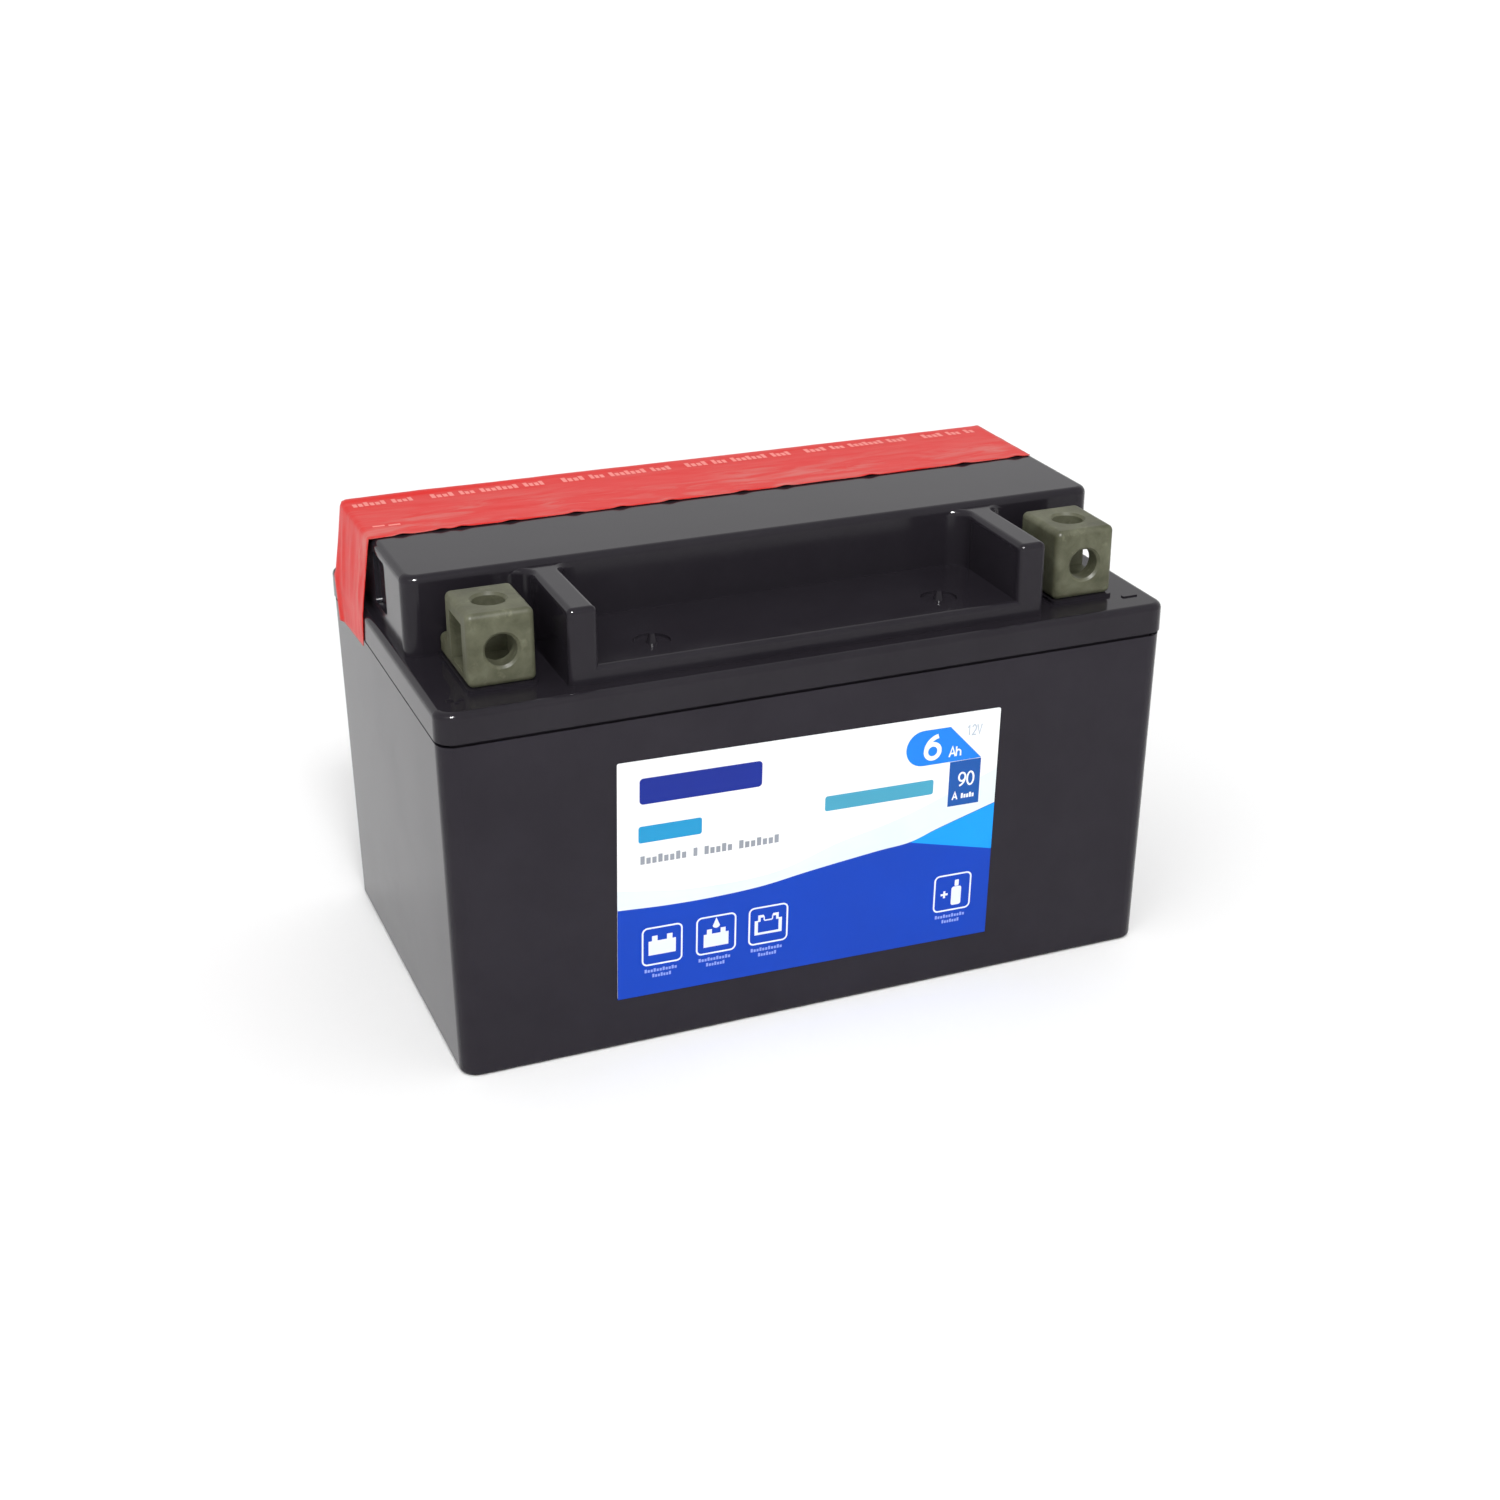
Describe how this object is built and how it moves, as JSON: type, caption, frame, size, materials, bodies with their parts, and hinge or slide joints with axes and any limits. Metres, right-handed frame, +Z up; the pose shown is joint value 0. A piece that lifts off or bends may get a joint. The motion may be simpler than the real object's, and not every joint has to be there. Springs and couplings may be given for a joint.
{
  "type": "motorcycle battery",
  "caption": "Sealed lead-acid motorcycle battery: black box case, welded lid with a stepped deck, two block terminals at the front and a peel-off tape over the filler ports.",
  "frame": {"origin": "centre of the base, on the surface the battery stands on", "axes": "+X to the right along the length, seen from the label side; +Y to the back, away from the terminals; +Z up"},
  "size_m": [0.1504, 0.087, 0.0924],
  "materials": {
    "case_plastic": "smooth black polypropylene, slightly glossy",
    "lid_plastic": "smooth black polypropylene, slightly glossy",
    "tape_film": "thin red film, wrinkled",
    "label_paper": "gloss-coated white and blue printed label",
    "terminal_lead": "cast lead alloy, dull olive grey",
    "post_lead": "cast lead, dull",
    "seal_rubber": "moulded black rubber",
    "positive_paste": "pasted lead grid, dark brown lead dioxide",
    "negative_paste": "pasted lead grid, grey sponge lead",
    "glass_mat": "white absorbent glass-fibre mat",
    "strap_lead": "cast lead, dull"
  },
  "bodies": {
    "battery": {"case": "case_plastic", "lid": "lid_plastic", "front_label": "label_paper", "positive_terminal": "terminal_lead", "negative_terminal": "terminal_lead", "positive_post": "post_lead", "negative_post": "post_lead", "positive_post_seal": "seal_rubber", "negative_post_seal": "seal_rubber", "positive_plates_1": "positive_paste", "negative_plates_1": "negative_paste", "separators_1": "glass_mat", "positive_strap_1": "strap_lead", "negative_strap_1": "strap_lead", "positive_plates_2": "positive_paste", "negative_plates_2": "negative_paste", "separators_2": "glass_mat", "positive_strap_2": "strap_lead", "negative_strap_2": "strap_lead", "positive_plates_3": "positive_paste", "negative_plates_3": "negative_paste", "separators_3": "glass_mat", "positive_strap_3": "strap_lead", "negative_strap_3": "strap_lead", "positive_plates_4": "positive_paste", "negative_plates_4": "negative_paste", "separators_4": "glass_mat", "positive_strap_4": "strap_lead", "negative_strap_4": "strap_lead", "positive_plates_5": "positive_paste", "negative_plates_5": "negative_paste", "separators_5": "glass_mat", "positive_strap_5": "strap_lead", "negative_strap_5": "strap_lead", "positive_plates_6": "positive_paste", "negative_plates_6": "negative_paste", "separators_6": "glass_mat", "positive_strap_6": "strap_lead", "negative_strap_6": "strap_lead", "intercell_weld_1": "strap_lead", "intercell_weld_2": "strap_lead", "intercell_weld_3": "strap_lead", "intercell_weld_4": "strap_lead", "intercell_weld_5": "strap_lead"},
    "tape": {"seal_tape": "tape_film"}
  },
  "joints": [
    {"name": "tape_lift", "type": "slide", "parent": "battery", "child": "tape", "axis": [0, 0, 1], "range_m": [0, 0.06]}
  ]
}
